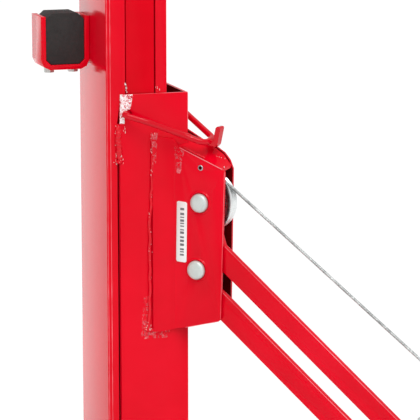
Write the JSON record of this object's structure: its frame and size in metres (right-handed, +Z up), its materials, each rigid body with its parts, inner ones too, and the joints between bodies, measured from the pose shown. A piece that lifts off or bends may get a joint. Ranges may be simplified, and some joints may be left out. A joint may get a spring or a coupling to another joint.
{
  "type": "engine hoist crane",
  "caption": "Rolling winch hoist with a corner-mounted sheave housing, telescoping mast, boom with hook and swinging legs on swivel casters.",
  "frame": {"origin": "middle of the bounding box on the floor", "axes": "+Z up, +X towards the winch, -X towards the hook, sheave housing plates parallel to XZ"},
  "size_m": [1.3076, 0.58, 1.517],
  "materials": {
    "red_paint": "glossy powder coat",
    "zinc": "zinc plated",
    "steel": "bare steel",
    "black_plastic": "moulded",
    "rubber": "matt",
    "tyre": "matt",
    "sticker": "blank",
    "wire_rope": "stranded"
  },
  "bodies": {
    "mast": {"post": "red_paint", "cable_cover": "red_paint", "housing_near": "red_paint", "housing_far": "red_paint", "housing_top": "red_paint", "upper_arm": "red_paint", "lower_arm": "red_paint", "rest_bracket": "red_paint", "base_frame": "red_paint", "mast_foot": "red_paint", "upper_pin": "zinc", "lower_pin": "zinc", "winch_cheek_near": "zinc", "winch_cheek_far": "zinc", "winch_tie_front": "zinc", "winch_tie_lower": "zinc", "pawl_pin": "zinc", "rope_ferrule": "zinc", "leg_pivot_near": "zinc", "leg_pivot_far": "zinc", "sheave_bush": "steel", "upper_clip": "steel", "lower_clip": "steel", "drum_shaft": "steel", "slide_bush": "black_plastic", "rest_buffer": "rubber", "label_plate": "sticker", "rope_lift": "wire_rope", "rope_run": "wire_rope"},
    "inner": {"inner_mast": "red_paint", "boom_saddle": "red_paint", "boom": "red_paint", "extension_clamp": "zinc"},
    "extension": {"boom_extension": "zinc", "shackle_pin": "steel"},
    "shackle": {"hook_shackle": "zinc"},
    "hook": {"hook": "steel"},
    "latch": {"hook_latch": "zinc"},
    "sheave": {"sheave": "zinc"},
    "drum_unit": {"drum": "zinc", "drum_gear": "steel", "rope_coil": "wire_rope"},
    "crank_unit": {"pinion_shaft": "steel", "crank_arm": "black_plastic", "crank_nut": "zinc"},
    "grip": {"crank_grip": "black_plastic"},
    "pawl": {"pawl": "steel"},
    "bail": {"latch_bail": "red_paint"},
    "leg_near": {"leg_near": "red_paint"},
    "leg_far": {"leg_far": "red_paint"},
    "fork_front_near": {"fork_front_near": "zinc"},
    "wheel_front_near": {"wheel_front_near": "tyre"},
    "fork_front_far": {"fork_front_far": "zinc"},
    "wheel_front_far": {"wheel_front_far": "tyre"},
    "fork_rear_near": {"fork_rear_near": "zinc"},
    "wheel_rear_near": {"wheel_rear_near": "tyre"},
    "fork_rear_far": {"fork_rear_far": "zinc"},
    "wheel_rear_far": {"wheel_rear_far": "tyre"}
  },
  "joints": [
    {"name": "mast_slide", "type": "slide", "parent": "mast", "child": "inner", "axis": [0, 0, 1], "range_m": [0, 0.6]},
    {"name": "sheave_spin", "type": "hinge", "parent": "mast", "child": "sheave", "pos_m": [0.1455, 0.003, 1.1077], "axis": [0, 1, 0], "range_deg": [0, 1176]},
    {"name": "drum_spin", "type": "hinge", "parent": "mast", "child": "drum_unit", "pos_m": [0.437, 0.02, 0.89638], "axis": [0, 1, 0], "range_deg": [0, 1441]},
    {"name": "crank_turn", "type": "hinge", "parent": "mast", "child": "crank_unit", "pos_m": [0.48819, 0.06, 0.93222], "axis": [0, 1, 0], "range_deg": [-5762, 0]},
    {"name": "grip_spin", "type": "hinge", "parent": "crank_unit", "child": "grip", "pos_m": [0.6383, 0.125, 0.85241], "axis": [0, 1, 0], "continuous": true},
    {"name": "pawl_swing", "type": "hinge", "parent": "mast", "child": "pawl", "pos_m": [0.415, 0.056, 0.95637], "axis": [0, 1, 0], "range_deg": [-28, 0]},
    {"name": "bail_swing", "type": "hinge", "parent": "mast", "child": "bail", "pos_m": [0.08, 0, 1.198], "axis": [0, 1, 0], "range_deg": [-36, 0]},
    {"name": "extension_slide", "type": "slide", "parent": "inner", "child": "extension", "axis": [-1, 0, 0], "range_m": [0, 0.12]},
    {"name": "shackle_swing", "type": "hinge", "parent": "extension", "child": "shackle", "pos_m": [-0.4568, 0, 1.46], "axis": [0, 1, 0], "range_deg": [-35, 35]},
    {"name": "hook_swivel", "type": "hinge", "parent": "shackle", "child": "hook", "pos_m": [-0.4568, 0, 1.4], "axis": [0, 0, 1], "continuous": true},
    {"name": "latch_swing", "type": "hinge", "parent": "hook", "child": "latch", "pos_m": [-0.4708, 0, 1.376], "axis": [0, 1, 0], "range_deg": [-35, 0], "stiffness_Nm_per_rad": 0.05, "springref_deg": 11.46},
    {"name": "leg_near_swing", "type": "hinge", "parent": "mast", "child": "leg_near", "pos_m": [0.2062, -0.25, 0.126], "axis": [0, 0, 1], "range_deg": [-10, 12]},
    {"name": "leg_far_swing", "type": "hinge", "parent": "mast", "child": "leg_far", "pos_m": [0.2062, 0.25, 0.126], "axis": [0, 0, 1], "range_deg": [-12, 10]},
    {"name": "swivel_front_near", "type": "hinge", "parent": "leg_near", "child": "fork_front_near", "pos_m": [-0.6198, -0.25, 0.1], "axis": [0, 0, 1], "continuous": true},
    {"name": "roll_front_near", "type": "hinge", "parent": "fork_front_near", "child": "wheel_front_near", "pos_m": [-0.5978, -0.25, 0.04], "axis": [0, 1, 0], "continuous": true},
    {"name": "swivel_front_far", "type": "hinge", "parent": "leg_far", "child": "fork_front_far", "pos_m": [-0.6198, 0.25, 0.1], "axis": [0, 0, 1], "continuous": true},
    {"name": "roll_front_far", "type": "hinge", "parent": "fork_front_far", "child": "wheel_front_far", "pos_m": [-0.5978, 0.25, 0.04], "axis": [0, 1, 0], "continuous": true},
    {"name": "swivel_rear_near", "type": "hinge", "parent": "mast", "child": "fork_rear_near", "pos_m": [0.2562, -0.215, 0.1], "axis": [0, 0, 1], "continuous": true},
    {"name": "roll_rear_near", "type": "hinge", "parent": "fork_rear_near", "child": "wheel_rear_near", "pos_m": [0.2782, -0.215, 0.04], "axis": [0, 1, 0], "continuous": true},
    {"name": "swivel_rear_far", "type": "hinge", "parent": "mast", "child": "fork_rear_far", "pos_m": [0.2562, 0.215, 0.1], "axis": [0, 0, 1], "continuous": true},
    {"name": "roll_rear_far", "type": "hinge", "parent": "fork_rear_far", "child": "wheel_rear_far", "pos_m": [0.2782, 0.215, 0.04], "axis": [0, 1, 0], "continuous": true}
  ],
  "couplings": [
    {"joint": "sheave_spin", "follows": "mast_slide", "rad_per_m": 34.13},
    {"joint": "drum_spin", "follows": "mast_slide", "rad_per_m": 41.841},
    {"joint": "crank_turn", "follows": "mast_slide", "rad_per_m": -167.36}
  ]
}
